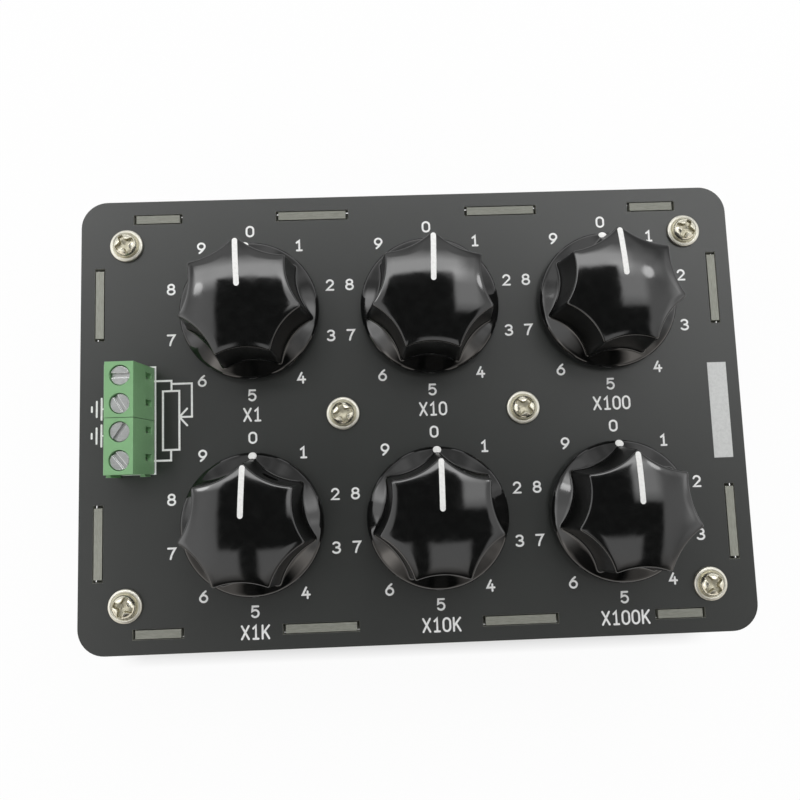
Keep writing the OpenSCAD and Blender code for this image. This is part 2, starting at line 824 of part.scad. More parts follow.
module clamp_cage() {
    window_h = cage_open_h + bar_t + skin;
    height = cage_floor + window_h + cage_top;
    color("silver") translate([0, 0, cage_rest_z]) difference() {
        translate([-cage_l / 2, -cage_w / 2, 0]) cube([cage_l, cage_w, height]);
        translate([-cage_l / 2 - over, -cage_w / 2 + cage_wall, cage_floor])
            cube([cage_l + 2 * over, cage_w - 2 * cage_wall, window_h]);
        translate([0, 0, height - cage_top - over]) cylinder(h = cage_top + 2 * over, r = clamp_thread_r + thread_gap);
    }
}

top_panel();
bottom_panel();
long_wall(-1);  // front_wall
long_wall(1);  // rear_wall
side_wall(-1);  // left_wall
side_wall(1);  // right_wall
spacers();
top_screws();
bottom_screws();
switch_cups();
switch_bushes();
lock_washers();
switch_nuts();
detent_springs();
contact_wafers();
fixed_contacts();
resistor_board();
resistors();
link_wires();
terminal_block(0);  // terminal_block_rear
terminal_block(1);  // terminal_block_front
terminal_pins();
for (i = [0 : len(dials) - 1]) {
    at_dial(i) rotate(knob_turn[i]) knob();
    at_dial(i) rotate(knob_turn[i]) set_screw();
    at_dial(i) rotate(knob_turn[i]) shaft();
    at_dial(i) rotor();
    at_dial(i) wiper();
}
for (w = ways) {
    at_way(w) terminal_screw(w);
    at_way(w) clamp_cage();
}
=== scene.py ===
# Decade resistance box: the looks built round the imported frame. Lengths in the code are millimetres.
import math

import bmesh
import bpy
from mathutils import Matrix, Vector


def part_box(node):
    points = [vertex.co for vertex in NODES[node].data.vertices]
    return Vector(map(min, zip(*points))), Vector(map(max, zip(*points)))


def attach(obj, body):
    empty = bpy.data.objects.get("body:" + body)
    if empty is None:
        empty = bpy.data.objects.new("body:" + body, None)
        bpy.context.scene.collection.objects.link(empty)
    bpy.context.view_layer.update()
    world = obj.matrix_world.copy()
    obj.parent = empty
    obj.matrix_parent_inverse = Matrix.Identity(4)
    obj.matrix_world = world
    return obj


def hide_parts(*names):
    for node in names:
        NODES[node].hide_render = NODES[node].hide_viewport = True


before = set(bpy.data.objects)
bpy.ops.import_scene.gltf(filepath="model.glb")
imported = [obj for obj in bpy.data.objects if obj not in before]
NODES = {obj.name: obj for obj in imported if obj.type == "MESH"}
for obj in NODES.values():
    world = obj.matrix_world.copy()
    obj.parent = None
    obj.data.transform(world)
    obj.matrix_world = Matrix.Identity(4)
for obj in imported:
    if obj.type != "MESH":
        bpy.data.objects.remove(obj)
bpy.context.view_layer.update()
MM = 0.001
DIALS = ["x1", "x10", "x100", "x1k", "x10k", "x100k"]
WAYS = [1, 2, 3, 4]


def mm_box(node):
    low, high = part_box(node)
    return low / MM, high / MM


def middle(node):
    low, high = mm_box(node)
    return (low + high) / 2


PANEL_TOP = mm_box("top_panel")[1].z
LOWER_FACE = mm_box("bottom_panel")[0].z


# Shader helpers
def shader(name):
    mat = bpy.data.materials.new(name)
    mat.use_nodes = True
    tree = mat.node_tree
    return mat, tree, tree.nodes["Principled BSDF"]


def feed(tree, socket, value):
    """Gives a socket a link or a constant."""
    if isinstance(value, bpy.types.NodeSocket):
        tree.links.new(value, socket)
    else:
        socket.default_value = value


def add(tree, kind, inputs=None, **settings):
    node = tree.nodes.new(kind)
    for key, value in settings.items():
        setattr(node, key, value)
    for key, value in (inputs or {}).items():
        feed(tree, node.inputs[key], value)
    return node


def place(tree, stretch=(1, 1, 1)):
    """Object coordinates, stretched along the axes."""
    coords = add(tree, "ShaderNodeTexCoord")
    mapping = add(tree, "ShaderNodeMapping", {"Vector": coords.outputs["Object"], "Scale": stretch})
    return mapping.outputs["Vector"]


def noise(tree, vector, feature_mm, detail=3.0, rough=0.55):
    """Noise from 0 to 1 with features of about that size."""
    node = add(tree, "ShaderNodeTexNoise",
               {"Vector": vector, "Scale": 1 / (feature_mm * MM), "Detail": detail, "Roughness": rough})
    return node.outputs["Fac"]


def ramp(tree, fac, low, high, to_low, to_high):
    node = add(tree, "ShaderNodeMapRange",
               {"Value": fac, "From Min": low, "From Max": high, "To Min": to_low, "To Max": to_high})
    return node.outputs["Result"]


def mix(tree, fac, a, b):
    """A colour from a to b. The sockets go by number, because several of them share a name."""
    return add(tree, "ShaderNodeMix", {0: fac, 6: a, 7: b}, data_type="RGBA").outputs[2]


def math_node(tree, operation, a, b=0.0):
    return add(tree, "ShaderNodeMath", {0: a, 1: b}, operation=operation).outputs[0]


def bump(tree, bsdf, height, strength, distance_mm):
    node = add(tree, "ShaderNodeBump",
               {"Height": height, "Strength": strength, "Distance": distance_mm * MM})
    tree.links.new(node.outputs["Normal"], bsdf.inputs["Normal"])


def shade(colour, k):
    return tuple(min(1.0, c * k) for c in colour[:3]) + (1.0,)


NOISE_SPAN = 0.3, 0.7  # where most values of a noise lie


def between(tree, fac, a, b):
    """A colour that goes from a to b as a noise goes from low to high."""
    return mix(tree, ramp(tree, fac, *NOISE_SPAN, 0, 1), a, b)


def surface(name, colour, rough, metallic=0.0, vary=0.12, rough_vary=0.08,
            patch_mm=4.0, grain_mm=0.25, relief_mm=0.004, stretch=(1, 1, 1)):
    """A moulded, drawn or plated surface: patches of tone, and a fine grain in roughness and relief."""
    mat, tree, bsdf = shader(name)
    where = place(tree, stretch)
    patches = noise(tree, where, patch_mm)
    grain = noise(tree, where, grain_mm, detail=2.0)
    tone = between(tree, patches, shade(colour, 1 - vary), shade(colour, 1 + vary))
    tree.links.new(tone, bsdf.inputs["Base Color"])
    gloss = ramp(tree, grain, *NOISE_SPAN, rough - rough_vary, rough + rough_vary)
    tree.links.new(gloss, bsdf.inputs["Roughness"])
    bsdf.inputs["Metallic"].default_value = metallic
    bump(tree, bsdf, grain, strength=0.5, distance_mm=relief_mm)
    return mat


def metal(name, colour, rough, **detail):
    return surface(name, colour, rough, metallic=1.0, **detail)


LAMINATE_DARK, LAMINATE_PALE = (0.18, 0.184, 0.154), (0.282, 0.286, 0.248)
LAYER_MM, LAYER_SQUASH = 1.6, 9.0
MASK_CLOUD_MM, MASK_GRAIN_MM, MASK_RELIEF_MM = 14.0, 0.18, 0.006
MASK_VARY, MASK_ROUGH_VARY, MASK_SPECULAR = 0.08, 0.05, 0.75
EDGE_ROUGHER = 0.3
FACING_LIMIT = 0.7  # a normal closer to the board's axis than this is a broad face


def board(name, axis, mask_tone, mask_rough=0.38, bare_tone=1.0):
    """A masked board: the two broad faces are dark mask, the cut edges bare laminate with its layers."""
    mat, tree, bsdf = shader(name)
    where = place(tree)
    coords = add(tree, "ShaderNodeTexCoord")
    split = add(tree, "ShaderNodeSeparateXYZ", {"Vector": coords.outputs["Normal"]})
    facing = math_node(tree, "ABSOLUTE", split.outputs[axis])
    masked = math_node(tree, "GREATER_THAN", facing, FACING_LIMIT)
    cloud = noise(tree, where, MASK_CLOUD_MM, detail=2.0)
    fine = noise(tree, where, MASK_GRAIN_MM, detail=2.0)
    mask = between(tree, cloud, shade(mask_tone, 1 - MASK_VARY), shade(mask_tone, 1 + MASK_VARY))
    squash = [LAYER_SQUASH if a == axis else 1.0 for a in "XYZ"]
    layers = noise(tree, place(tree, squash), LAYER_MM, detail=4.0, rough=0.7)
    bare = between(tree, layers, shade(LAMINATE_DARK, bare_tone), shade(LAMINATE_PALE, bare_tone))
    tree.links.new(mix(tree, masked, bare, mask), bsdf.inputs["Base Color"])
    rough = ramp(tree, fine, *NOISE_SPAN, mask_rough - MASK_ROUGH_VARY, mask_rough + MASK_ROUGH_VARY)
    edge = math_node(tree, "MULTIPLY", math_node(tree, "SUBTRACT", 1.0, masked), EDGE_ROUGHER)
    tree.links.new(math_node(tree, "ADD", rough, edge), bsdf.inputs["Roughness"])
    bsdf.inputs["Specular IOR Level"].default_value = MASK_SPECULAR
    bump(tree, bsdf, fine, strength=0.35, distance_mm=MASK_RELIEF_MM)
    return mat


KNOB_CLEAN, KNOB_HAZY = (0.0035, 0.0037, 0.0036, 1), (0.0065, 0.0068, 0.0066, 1)
WAVE_MM, WAVE_RELIEF_MM = 5.0, 0.05
HAZE_MM, HAZE_ROUGHER = 1.8, 0.06
HAZE_TONE_SPAN, HAZE_GLOSS_SPAN = (0.4, 0.75), (0.3, 0.8)
DUST_TONE, DUST_ROUGHER = (0.3, 0.3, 0.28, 1), 0.5
DUST_CELL_MM, DUST_R, DUST_DRAW = 2.6, 0.045, 0.78  # radius in cells; a cell that draws less is clean


def knob_gloss(name, rough, ior):
    """Black phenolic: faint waviness, a little haze and a few specks of dust."""
    mat, tree, bsdf = shader(name)
    where = place(tree)
    wave = noise(tree, where, WAVE_MM, detail=1.5)
    haze = noise(tree, where, HAZE_MM, detail=4.0)
    cells = add(tree, "ShaderNodeTexVoronoi", {"Vector": where, "Scale": 1 / (DUST_CELL_MM * MM)})
    pick = add(tree, "ShaderNodeSeparateColor", {"Color": cells.outputs["Color"]})
    near = math_node(tree, "LESS_THAN", cells.outputs["Distance"], DUST_R)
    few = math_node(tree, "GREATER_THAN", pick.outputs[0], DUST_DRAW)
    dust = math_node(tree, "MULTIPLY", near, few)
    tone = mix(tree, ramp(tree, haze, *HAZE_TONE_SPAN, 0, 1), KNOB_CLEAN, KNOB_HAZY)
    tree.links.new(mix(tree, dust, tone, DUST_TONE), bsdf.inputs["Base Color"])
    gloss = ramp(tree, haze, *HAZE_GLOSS_SPAN, rough, rough + HAZE_ROUGHER)
    dull = math_node(tree, "MULTIPLY", dust, DUST_ROUGHER)
    tree.links.new(math_node(tree, "ADD", gloss, dull), bsdf.inputs["Roughness"])
    bsdf.inputs["IOR"].default_value = ior
    bump(tree, bsdf, wave, strength=0.35, distance_mm=WAVE_RELIEF_MM)
    return mat


INK_PATCH_MM, INK_THIN = 0.5, 0.84
INK_TONE_SPAN, INK_GLOSS_SPAN, INK_ROUGH = (0.25, 0.6), (0.2, 0.8), (0.5, 0.62)


def ink(name, tone):
    """White ink or paint: thin, with a slightly uneven density."""
    mat, tree, bsdf = shader(name)
    density = noise(tree, place(tree), INK_PATCH_MM, detail=4.0, rough=0.65)
    body = mix(tree, ramp(tree, density, *INK_TONE_SPAN, 0, 1), shade(tone, INK_THIN), tone)
    tree.links.new(body, bsdf.inputs["Base Color"])
    tree.links.new(ramp(tree, density, *INK_GLOSS_SPAN, *INK_ROUGH), bsdf.inputs["Roughness"])
    return mat


MASK_TONE = (0.0152, 0.0172, 0.0155)
MATERIAL = {
    "board_z": board("board_black_z", "Z", MASK_TONE),
    "board_y": board("board_black_y", "Y", MASK_TONE),
    "board_x": board("board_black_x", "X", MASK_TONE, bare_tone=1.25),
    "board_green": board("board_green", "Z", (0.03, 0.12, 0.05), 0.35),
    "knob": knob_gloss("knob_black", rough=0.055, ior=1.62),
    "flute": knob_gloss("knob_flute", rough=0.3, ior=1.4),
    "ink": ink("print_white", (0.98, 0.98, 0.97, 1)),
    "ink_block": ink("block_white", (0.66, 0.67, 0.66, 1)),
    "paint": ink("pointer_white", (0.93, 0.93, 0.91, 1)),
    "green": surface("terminal_green", (0.22, 0.44, 0.21), 0.48, vary=0.05, patch_mm=3, grain_mm=0.3),
    # Lighter green on the rounded edges of the terminal blocks: a painted highlight.
    "green_painted_highlight": surface("terminal_green_painted_highlight", (0.3, 0.53, 0.29), 0.42, vary=0.08, patch_mm=1,
                          grain_mm=0.3),
    "nickel": metal("nickel", (0.69, 0.665, 0.555), 0.26, vary=0.1, rough_vary=0.07, patch_mm=0.8,
                    grain_mm=0.2, relief_mm=0.008),
    "satin": metal("nickel_satin", (0.66, 0.645, 0.57), 0.42, vary=0.06, rough_vary=0.06,
                   patch_mm=1.0, grain_mm=0.12, relief_mm=0.006),
    # Darker, browner metal deep in the cross recess: painted shade.
    "recess": metal("nickel_recess_painted_shade", (0.45, 0.425, 0.33), 0.42, patch_mm=0.5, grain_mm=0.12,
                    relief_mm=0.008),
    "zinc": metal("zinc", (0.43, 0.44, 0.435), 0.36, vary=0.1, rough_vary=0.1, patch_mm=0.8,
                  grain_mm=0.12, relief_mm=0.008, stretch=(1, 5, 1)),
    # Pale zinc on the rounded edges of the terminal screws: a painted highlight.
    "zinc_painted_highlight": metal("zinc_painted_highlight", (0.86, 0.87, 0.87), 0.3, vary=0.1, patch_mm=0.6, grain_mm=0.12,
                       relief_mm=0.006),
    "steel": metal("drawn_steel", (0.55, 0.55, 0.55), 0.32, vary=0.08, patch_mm=2, grain_mm=0.15,
                   stretch=(6, 6, 1)),
    "dark_steel": metal("dark_steel", (0.06, 0.06, 0.062), 0.4, vary=0.15),
    "brass": metal("brass", (0.72, 0.5, 0.2), 0.3, vary=0.08, patch_mm=3, grain_mm=0.2,
                   stretch=(4, 4, 1)),
    "bronze": metal("bronze", (0.6, 0.36, 0.17), 0.33),
    "tin": metal("tin", (0.68, 0.68, 0.67), 0.38),
    "phenolic": surface("moulded_brown", (0.09, 0.045, 0.024), 0.42, vary=0.2),
    "nylon": surface("nylon", (0.72, 0.69, 0.6), 0.5, vary=0.05),
    "chip": surface("chip_black", (0.03, 0.03, 0.032), 0.35, vary=0.15),
}
MATERIAL_OF = {
    "top_panel": "board_z", "bottom_panel": "board_z", "front_wall": "board_y", "rear_wall": "board_y",
    "left_wall": "board_x", "right_wall": "board_x", "spacers": "brass", "switch_cups": "phenolic",
    "switch_bushes": "nickel", "lock_washers": "nickel", "switch_nuts": "nickel",
    "detent_springs": "steel",
    "contact_wafers": "phenolic", "fixed_contacts": "tin", "resistor_board": "board_green",
    "resistors": "chip", "link_wires": "tin", "terminal_block_rear": "green",
    "terminal_block_front": "green", "terminal_pins": "tin",
    "top_screws": "nickel", "bottom_screws": "nickel",
}
for d in DIALS:
    MATERIAL_OF.update({f"knob_{d}": "knob", f"set_screw_{d}": "dark_steel", f"shaft_{d}": "steel",
                        f"rotor_{d}": "nylon", f"wiper_{d}": "bronze"})
for w in WAYS:
    MATERIAL_OF.update({f"terminal_screw_{w}": "zinc", f"clamp_cage_{w}": "tin"})


WELD_MM = 0.001
FLAT_DEG, EDGE_DEG = 1, 40  # faces closer than the first merge; edges sharper than the second are rounded


def soften(node, width_mm, segments=2, highlight_key=None):
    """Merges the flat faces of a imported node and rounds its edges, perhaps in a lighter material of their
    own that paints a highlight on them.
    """
    obj = NODES[node]
    weld = obj.modifiers.new("weld", "WELD")
    weld.merge_threshold = WELD_MM * MM
    flat = obj.modifiers.new("flat", "DECIMATE")
    flat.decimate_type = "DISSOLVE"
    flat.angle_limit = math.radians(FLAT_DEG)
    edge = obj.modifiers.new("edge", "BEVEL")
    edge.width = width_mm * MM
    edge.segments = segments
    edge.limit_method = "ANGLE"
    edge.angle_limit = math.radians(EDGE_DEG)
    edge.harden_normals = True
    if highlight_key:
        obj.data.materials.append(MATERIAL[highlight_key])
        edge.material = len(obj.data.materials) - 1


for node, key in MATERIAL_OF.items():
    NODES[node].data.materials.clear()
    NODES[node].data.materials.append(MATERIAL[key])


# Mesh helpers
MERGE_M = 1e-8  # metres


def show(name, data):
    """A new object in the scene."""
    obj = bpy.data.objects.new(name, data)
    bpy.context.scene.collection.objects.link(obj)
    return obj


def new_piece(name, mesh, body, key):
    obj = show(name, mesh)
    if not mesh.materials:
        mesh.materials.append(MATERIAL[key])
    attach(obj, body)
    return obj


def to_mesh(bm, name):
    mesh = bpy.data.meshes.new(name)
    bm.to_mesh(mesh)
    bm.free()
    return mesh


def smooth(mesh, sharp_deg):
    """Smooth shading, with the edges sharper than that left hard."""
    mesh.polygons.foreach_set("use_smooth", [True] * len(mesh.polygons))
    mesh.set_sharp_from_angle(angle=math.radians(sharp_deg))


def finish_mesh(bm, name, sharp_deg=35):
    bmesh.ops.remove_doubles(bm, verts=bm.verts, dist=MERGE_M)
    bmesh.ops.recalc_face_normals(bm, faces=bm.faces)
    mesh = to_mesh(bm, name)
    smooth(mesh, sharp_deg)
    return mesh


def full_turn(steps):
    """Angles once round a circle."""
    return [2 * math.pi * k / steps for k in range(steps)]


def ring_grid(bm, rows):
    """Joins rows of points, each going once round the axis, and closes both ends."""
    count = len(rows[0])
    made = [[bm.verts.new(Vector(p) * MM) for p in row] for row in rows]
    for a, b in zip(made, made[1:]):
        for i in range(count):
            j = (i + 1) % count
            bm.faces.new((a[i], a[j], b[j], b[i]))
    for row in (made[0], made[-1]):
        centre = bm.verts.new(sum((v.co for v in row), Vector()) / count)
        for i in range(count):
            bm.faces.new((row[i], row[(i + 1) % count], centre))


LEAST_LEAN = 0.5  # keeps the corner of a sharp turn short


def ribbon(bm, points, width, top, depth, closed=False, cap_steps=8):
    """A flat stroke of that width along points. top(x, y) is its upper face, and depth its thickness."""
    pts = [Vector(p) for p in points]
    count = len(pts)
    half = width / 2
    left, right = [], []
    for i, p in enumerate(pts):
        before = pts[i - 1] if i or closed else None
        after = pts[(i + 1) % count] if i < count - 1 or closed else None
        d_out = (after - p if after is not None else p - before).normalized()
        d_in = (p - before).normalized() if before is not None else d_out
        d = (d_in + d_out).normalized()
        normal = Vector((-d.y, d.x))
        lean = max(LEAST_LEAN, normal.dot(Vector((-d_out.y, d_out.x))))
        left.append(p + normal * half / lean)
        right.append(p - normal * half / lean)

    def pair(q):
        z = top(q.x, q.y)
        return [bm.verts.new(Vector((q.x, q.y, level)) * MM) for level in (z, z - depth)]

    l_pairs = [pair(q) for q in left]
    r_pairs = [pair(q) for q in right]
    spans = count if closed else count - 1
    for i in range(spans):
        j = (i + 1) % count
        bm.faces.new((l_pairs[i][0], r_pairs[i][0], r_pairs[j][0], l_pairs[j][0]))
        bm.faces.new((l_pairs[i][1], l_pairs[j][1], r_pairs[j][1], r_pairs[i][1]))
        bm.faces.new((l_pairs[i][0], l_pairs[j][0], l_pairs[j][1], l_pairs[i][1]))
        bm.faces.new((r_pairs[i][0], r_pairs[i][1], r_pairs[j][1], r_pairs[j][0]))
    if closed:
        return
    for end, inner, first, last in ((0, 1, l_pairs[0], r_pairs[0]), (-1, -2, r_pairs[-1], l_pairs[-1])):
        out = (pts[end] - pts[inner]).normalized()
        start = math.atan2(out.y, out.x) - math.pi / 2
        fan = [first]
        for k in range(1, cap_steps):
            a = start + math.pi * k / cap_steps
            fan.append(pair(pts[end] + Vector((math.cos(a), math.sin(a))) * half))
        fan.append(last)
        bm.faces.new([q[0] for q in fan])
        bm.faces.new([q[1] for q in reversed(fan)])
        for q, t in zip(fan, fan[1:]):
            bm.faces.new((q[0], q[1], t[1], t[0]))


def arc(cx, cy, rx, ry, start, stop, steps=12):
    """Points on an ellipse, from one angle to another in degrees."""
    angles = [math.radians(start + (stop - start) * k / steps) for k in range(steps + 1)]
    return [(cx + rx * math.cos(a), cy + ry * math.sin(a)) for a in angles]


# Stroke characters in a unit box: (points, closed)
STROKES = {
    "0": [(arc(0.5, 0.68, 0.5, 0.32, 0, 180) + arc(0.5, 0.32, 0.5, 0.32, 180, 360), True)],
    "1": [([(0.18, 0.8), (0.56, 1.0), (0.56, 0.0)], False), ([(0.2, 0.0), (0.92, 0.0)], False)],
    "2": [(arc(0.5, 0.7, 0.46, 0.3, 165, -25) + [(0.04, 0.0), (1.0, 0.0)], False)],
    "3": [(arc(0.46, 0.755, 0.46, 0.245, 150, -90), False),
          (arc(0.46, 0.26, 0.52, 0.26, 90, -150), False)],
    "4": [([(0.52, 1.0), (0.0, 0.32), (1.0, 0.32)], False), ([(0.7, 0.62), (0.7, 0.0)], False)],
    "5": [([(0.92, 1.0), (0.14, 1.0), (0.08, 0.56)] + arc(0.48, 0.33, 0.5, 0.33, 115, -145), False)],
    "6": [([(0.78, 1.0), (0.42, 0.8)] + arc(0.5, 0.32, 0.5, 0.32, 150, 180, 4), False),
          (arc(0.5, 0.32, 0.5, 0.32, 0, 345, 23), True)],
    "7": [([(0.0, 1.0), (1.0, 1.0), (0.66, 0.62), (0.45, 0.3), (0.34, 0.0)], False)],
    "8": [(arc(0.5, 0.76, 0.42, 0.24, 0, 345, 23), True), (arc(0.5, 0.27, 0.5, 0.27, 0, 345, 23), True)],
    "9": [(arc(0.5, 0.68, 0.5, 0.32, 0, 345, 23), True),
          (arc(0.5, 0.68, 0.5, 0.32, 0, -30, 4) + [(0.58, 0.2), (0.22, 0.0)], False)],
    "X": [([(0.0, 0.0), (1.0, 1.0)], False), ([(0.0, 1.0), (1.0, 0.0)], False)],
    "K": [([(0.05, 0.0), (0.05, 1.0)], False), ([(1.0, 1.0), (0.05, 0.36)], False),
          ([(0.38, 0.58), (1.0, 0.0)], False)],
}
INK_DEPTH, INK_WIDTH, THIN_WIDTH = 0.03, 0.37, 0.3
LAYER_STEP, LAYER_SPAN = 0.003, 0.012  # strokes that cross lie at heights of their own


class Print:
    """White print on the upper panel, one mesh for each group."""

    def __init__(self, name):
        self.name = name
        self.bm = bmesh.new()
        self.lift = 0.0

    def stroke(self, points, width=INK_WIDTH, closed=False):
        self.lift = (self.lift + LAYER_STEP) % LAYER_SPAN
        z = PANEL_TOP + INK_DEPTH - LAYER_SPAN + self.lift
        ribbon(self.bm, points, width, lambda x, y: z, INK_DEPTH, closed)

    def text(self, words, x, y, w, h, advance):
        start = x - (len(words) - 1) * advance / 2
        for k, letter in enumerate(words):
            left = start + k * advance - w / 2
            for points, closed in STROKES[letter]:
                self.stroke([(left + px * w, y - h / 2 + py * h) for px, py in points], closed=closed)

    def block(self, x0, y0, x1, y1):
        corners = (x0, y0), (x1, y0), (x1, y1), (x0, y1)
        top = PANEL_TOP + INK_DEPTH
        lower, upper = [[self.bm.verts.new(Vector((x, y, z)) * MM) for x, y in corners]
                        for z in (top - INK_DEPTH, top)]
        self.bm.faces.new(upper)
        self.bm.faces.new(list(reversed(lower)))
        for i in range(4):
            j = (i + 1) % 4
            self.bm.faces.new((lower[i], lower[j], upper[j], upper[i]))

    def done(self, key="ink"):
        return new_piece(self.name, finish_mesh(self.bm, self.name), "case", key)


DIGIT_W, DIGIT_H = 1.3, 1.9
LABEL_W, LABEL_H, LABEL_ADVANCE = 1.25, 2.3, 1.85
RING_R = 15.9
LABEL_DROP = 19.55
POSITIONS, POSITION_DEG, ZERO_DEG = 10, 36, 90
# Signs at the terminals, as (points, width, closed): a frame round the blocks, and a variable resistor
# with its upper lead, body, wiper lead, wiper arrow and lower lead
TERMINAL_SIGNS = [
    ([(-56.3, 10.15), (-48.4, 10.15), (-48.4, -9.9), (-56.3, -9.9)], THIN_WIDTH, True),
    ([(-48.6, 7.45), (-45.4, 7.45), (-45.4, 5.5)], INK_WIDTH, False),
    ([(-47.0, 5.5), (-43.95, 5.5), (-43.95, -5.55), (-47.0, -5.55)], INK_WIDTH, True),
    ([(-45.4, 6.85), (-41.6, 6.85), (-41.6, 0.55), (-43.9, 0.55)], INK_WIDTH, False),
    ([(-42.5, 2.1), (-43.95, 0.57), (-42.5, -1.05)], INK_WIDTH, False),
    ([(-45.5, -5.55), (-45.5, -7.5), (-48.6, -7.5)], INK_WIDTH, False),
]
# Earth signs: three bars as (x, height), and a lead from the last bar to the terminal
EARTH_ROWS = 2.5, -2.5
EARTH_BARS = (-60.2, 1.3), (-59.3, 3.3), (-58.4, 4.4)
EARTH_BAR_WIDTH, EARTH_BAR_CAP, EARTH_LEAD_END = 0.35, 0.2, -55.6
WRITE_ON_BOX = 56.55, -10.5, 60.15, 7.7

numbers = Print("dial_numbers")
labels = Print("range_labels")
for d in DIALS:
    centre = middle(f"shaft_{d}")
    for k in range(POSITIONS):
        a = math.radians(ZERO_DEG - POSITION_DEG * k)
        numbers.text(str(k), centre.x + RING_R * math.cos(a), centre.y + RING_R * math.sin(a),
                     DIGIT_W, DIGIT_H, advance=0)
    labels.text(d.upper(), centre.x, centre.y - LABEL_DROP, LABEL_W, LABEL_H, LABEL_ADVANCE)
numbers.done()
labels.done()

symbols = Print("terminal_symbols")
for points, width, closed in TERMINAL_SIGNS:
    symbols.stroke(points, width, closed)
for y in EARTH_ROWS:
    for x, h in EARTH_BARS:
        symbols.stroke([(x, y - h / 2 + EARTH_BAR_CAP), (x, y + h / 2 - EARTH_BAR_CAP)], EARTH_BAR_WIDTH)
    symbols.stroke([(EARTH_BARS[-1][0], y), (EARTH_LEAD_END, y)], THIN_WIDTH)
symbols.done()
write_on = Print("write_on_block")
write_on.block(*WRITE_ON_BOX)
write_on.done("ink_block")


# Knob: one mesh for the six dials, pointer towards +Y, z from the knob's underside
LOBES = 7
LOBE_STEPS = 40
SKIRT_R, RIM_H, SKIRT_IN_R, SKIRT_TOP = 13.1, 1.7, 8.55, 4.0
KNOB_H, CROWN_DROP, TIP_R, TIP_BASE_R = 12.89, 1.5, 11.0, 11.6
FLUTE_R, FLUTE_CUT_R = 9.05, 12.5
TIP_Z = KNOB_H - CROWN_DROP
DRAFT = (TIP_BASE_R - TIP_R) / (TIP_Z - SKIRT_TOP)
SLOPE = (SKIRT_TOP - RIM_H) / (SKIRT_R - SKIRT_IN_R)
CROWN_R = 44.0
HOLLOW_R, HOLLOW_H, BORE_R, BORE_TOP = 8.2, 4.6, 3.05, 10.45
TIP_ROUND, FOOT_ROUND, CROWN_ROUND = 0.3, 0.45, 0.26
TIP_OVER = 0.06  # what the round takes off the lobe tips
RIM_ROUND, BASE_ROUND, HOLLOW_BREAK = 0.55, 0.3, 0.2
LEAST_SKIRT = 0.15
FOOT_UP, CROWN_IN = 1.2, 1.3  # times FOOT_ROUND up the grip, and CROWN_ROUND in over the crown
SKIRT_STEPS, WALL_STEPS, SHOULDER_STEPS, DOME_STEPS = 5, 8, 6, 10
SETTLE = 3  # rounds in which a point settles on two surfaces at once
UPRIGHT, OFF_SKIRT, INTO_FLUTE = 0.5, 0.2, 0.8  # what tells the faces of the grip from the others
SHOULDER_W, SHOULDER_DROP = 1.7, 0.06
SET_SCREW_Z, SET_SCREW_R, SET_SCREW_ENDS = 7.0, 1.55, (2.0, 14.0)
CIRCLE_STEPS = 40
BEYOND = 99.0  # stands for a radius that nothing limits


def soft_min(a, b, k):
    h = max(0.0, k - abs(a - b)) / k
    return min(a, b) - h * h * k / 4


def crown_z(r):
    return KNOB_H - r * r / (2 * CROWN_R)


def skirt_z(r):
    return RIM_H + (SKIRT_R - r) * SLOPE


def grip_r(angle, z):
    """Radius of the fluted grip: the nearer flute's hollow, with rounded lobe tips."""
    rise = (TIP_Z - z) * DRAFT
    step = 2 * math.pi / LOBES
    off = (angle - math.pi / 2) % step - step / 2
    centre = FLUTE_R + rise + FLUTE_CUT_R

    def flute(delta):
        inside = FLUTE_CUT_R ** 2 - (centre * math.sin(delta)) ** 2
        return centre * math.cos(delta) - math.sqrt(inside) if inside > 0 else BEYOND

    near, far = flute(off), flute(abs(off) - step)
    return soft_min(soft_min(near, far, TIP_ROUND * 2), TIP_R + rise + TIP_OVER, TIP_ROUND)


def crown_edge(angle):
    """(r, z) of the edge between the crown and the grip at one angle."""
    z = TIP_Z
    for _ in range(SETTLE):
        r = grip_r(angle, z)
        z = crown_z(r) - SHOULDER_DROP
    return r, z


def crown_top(angle, r):
    """Height of the crown: a shallow dome that falls off faster in a soft shoulder along its edge."""
    near = max(0.0, 1 - (crown_edge(angle)[0] - r) / SHOULDER_W)
    return crown_z(r) - SHOULDER_DROP * near * near


def curve(a, corner, b, steps):
    """Points of a round from a to b that turns at corner, ends included."""
    out = []
    for k in range(steps + 1):
        t = k / steps
        out.append(tuple((1 - t) ** 2 * p + 2 * t * (1 - t) * q + t * t * s
                         for p, q, s in zip(a, corner, b)))
    return out


